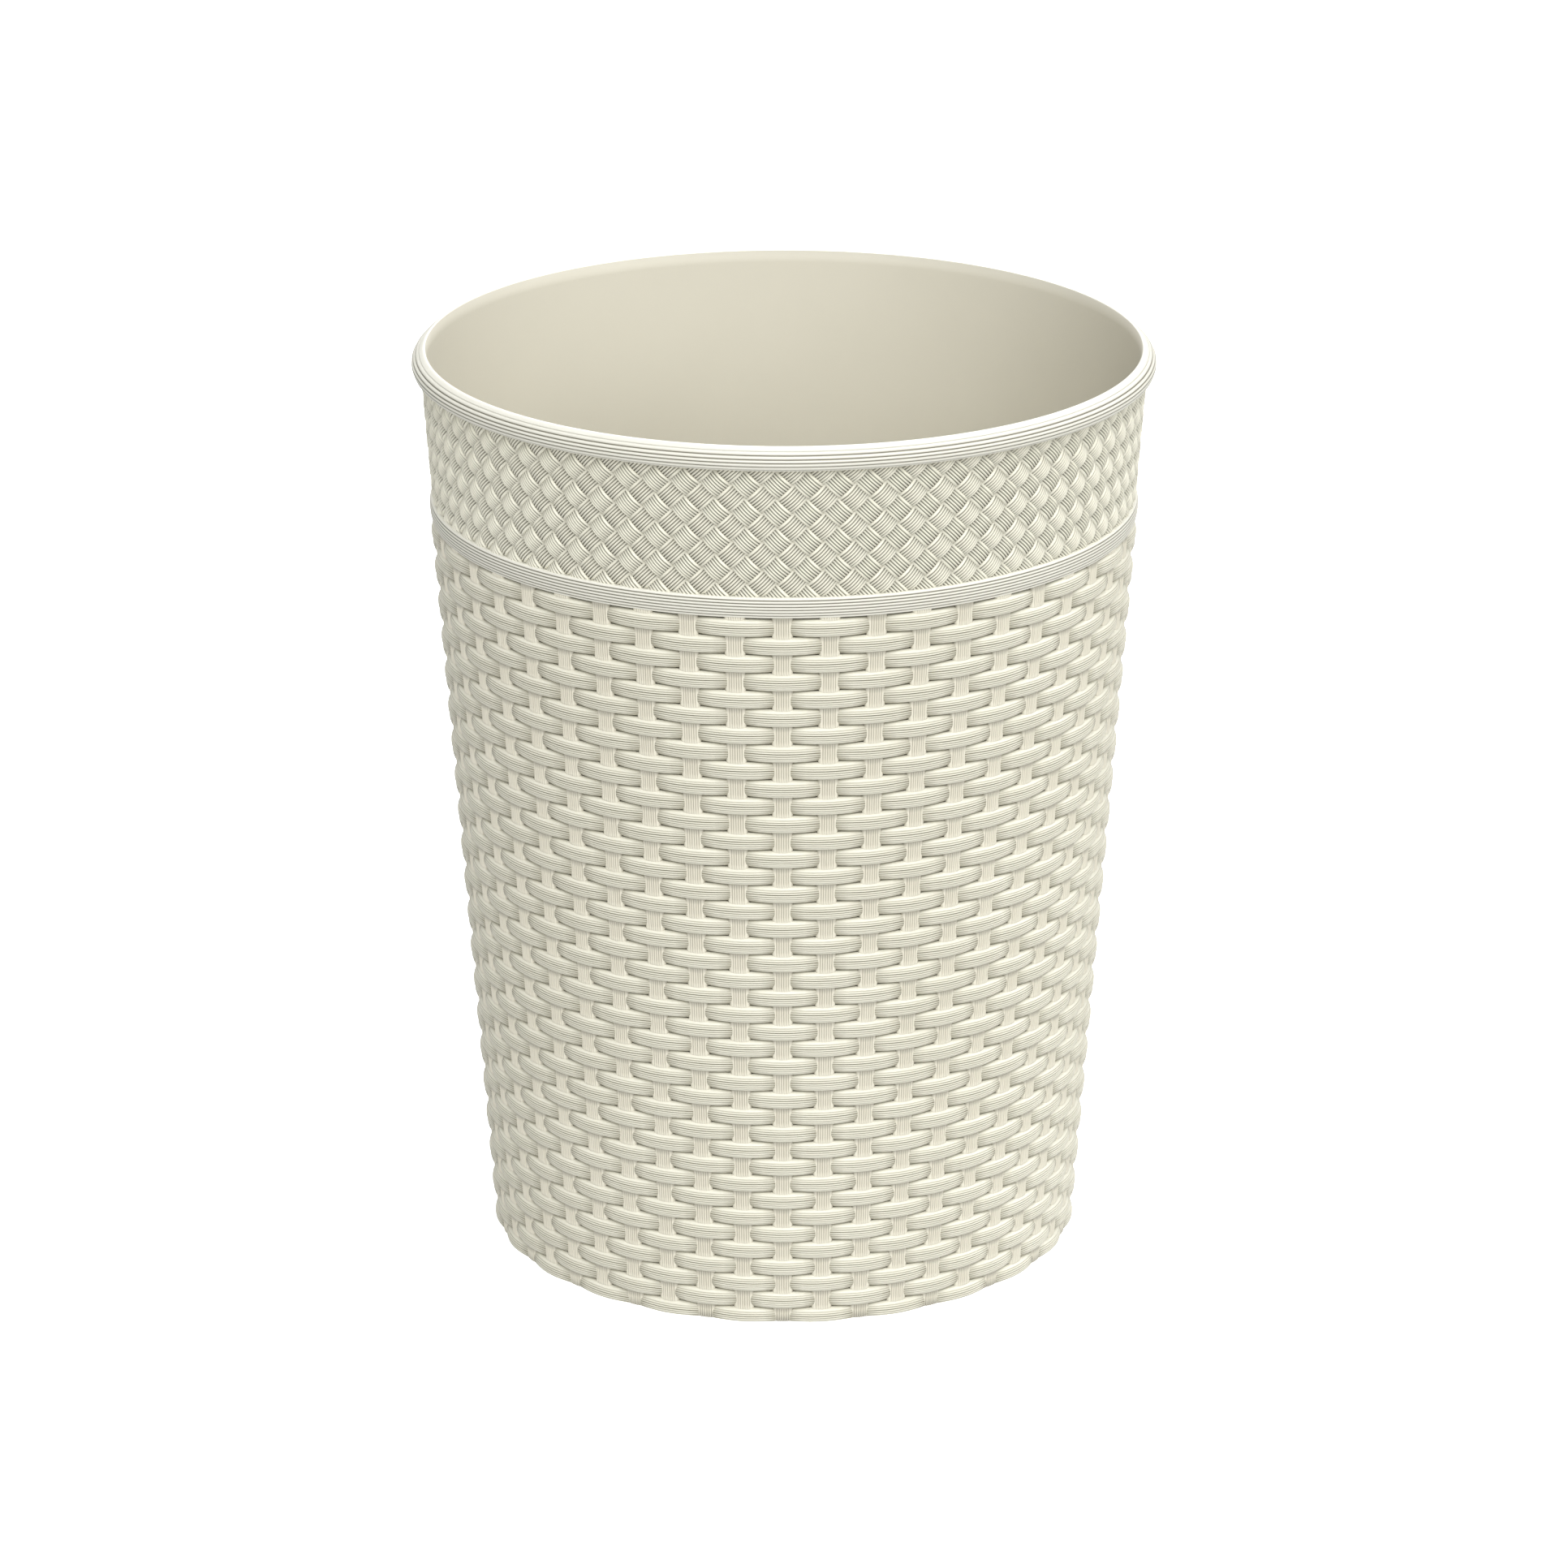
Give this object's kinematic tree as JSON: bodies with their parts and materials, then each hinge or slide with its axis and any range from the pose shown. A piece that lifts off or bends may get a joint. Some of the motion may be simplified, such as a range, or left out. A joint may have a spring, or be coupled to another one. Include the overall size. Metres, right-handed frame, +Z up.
{
  "type": "wastebasket",
  "caption": "Round tapered wastebasket: a smooth liner inside a wall of level weavers on vertical stakes, with a plaited band, collar and rolled rim.",
  "frame": {"origin": "centre of the underside, on the floor", "axes": "+Z up along the basket's axis; -Y is the side that faces the viewer, with one stake exactly on it"},
  "size_m": [0.26, 0.26, 0.3265],
  "materials": {
    "liner_plastic": "smooth matte cream",
    "reed_plastic": "ribbed satin ivory",
    "trim_plastic": "ribbed satin ivory"
  },
  "bodies": {
    "root": {"liner": "liner_plastic", "rim_ring": "trim_plastic", "plaited_band": "reed_plastic", "collar_hoop": "trim_plastic", "stake_cage": "reed_plastic", "weaver_01": "reed_plastic", "weaver_02": "reed_plastic", "weaver_03": "reed_plastic", "weaver_04": "reed_plastic", "weaver_05": "reed_plastic", "weaver_06": "reed_plastic", "weaver_07": "reed_plastic", "weaver_08": "reed_plastic", "weaver_09": "reed_plastic", "weaver_10": "reed_plastic", "weaver_11": "reed_plastic", "weaver_12": "reed_plastic", "weaver_13": "reed_plastic", "weaver_14": "reed_plastic", "weaver_15": "reed_plastic", "weaver_16": "reed_plastic", "weaver_17": "reed_plastic", "weaver_18": "reed_plastic", "weaver_19": "reed_plastic", "weaver_20": "reed_plastic", "weaver_21": "reed_plastic", "weaver_22": "reed_plastic", "weaver_23": "reed_plastic", "weaver_24": "reed_plastic", "weaver_25": "reed_plastic", "weaver_26": "reed_plastic", "weaver_27": "reed_plastic", "weaver_28": "reed_plastic", "weaver_29": "reed_plastic", "weaver_30": "reed_plastic", "weaver_31": "reed_plastic", "weaver_32": "reed_plastic", "weaver_33": "reed_plastic", "weaver_34": "reed_plastic", "weaver_35": "reed_plastic", "weaver_36": "reed_plastic", "weaver_37": "reed_plastic", "weaver_38": "reed_plastic", "weaver_39": "reed_plastic", "weaver_40": "reed_plastic", "weaver_41": "reed_plastic"}
  },
  "joints": []
}
